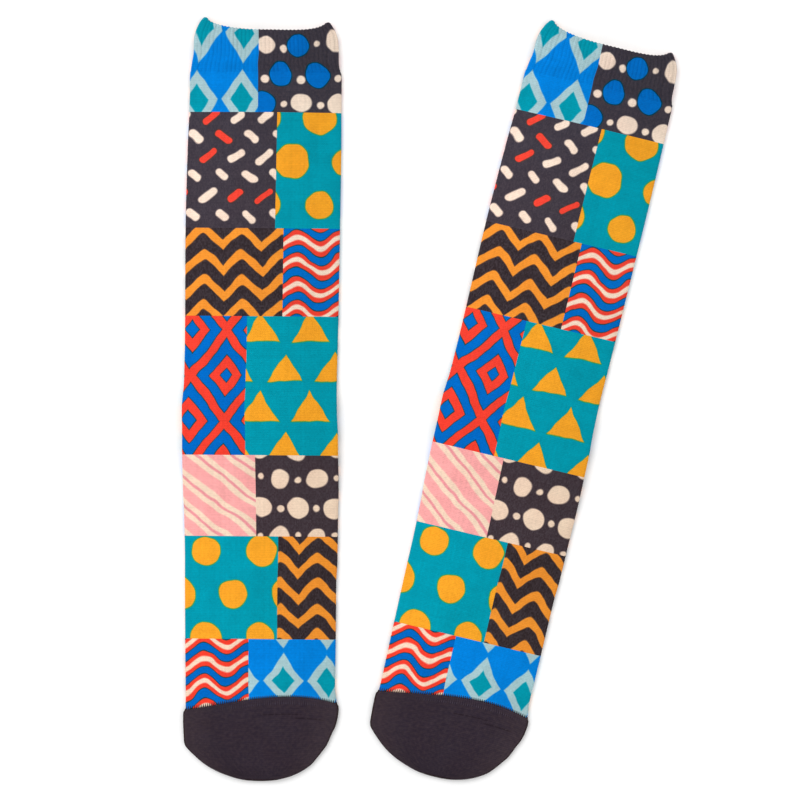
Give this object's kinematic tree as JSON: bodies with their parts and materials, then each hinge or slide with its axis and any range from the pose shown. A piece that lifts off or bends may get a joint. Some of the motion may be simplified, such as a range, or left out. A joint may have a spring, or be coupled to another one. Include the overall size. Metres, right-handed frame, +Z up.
{
  "type": "pair of socks",
  "caption": "Pair of printed mid-calf socks laid flat side by side, with ribbed cuffs, folded heels and dark closed toes.",
  "frame": {"origin": "middle of the rectangle that the pair covers, on the surface it lies on", "axes": "+Y from the toes towards the cuffs of the left sock, +X from the left sock to the right one, +Z up out of the fronts of the socks"},
  "size_m": [0.2749, 0.4227, 0.0104],
  "materials": {
    "printed_knit": "fine jersey knit, dye printed in bright colours, matte with a soft sheen; ribbed at the cuff",
    "black_knit": "plain knit of plum-black yarn, matte"
  },
  "bodies": {
    "root": {"left_cuff": "printed_knit", "left_body": "printed_knit", "left_heel": "black_knit", "left_toe": "black_knit", "right_cuff": "printed_knit", "right_body": "printed_knit", "right_heel": "black_knit", "right_toe": "black_knit"}
  },
  "joints": []
}
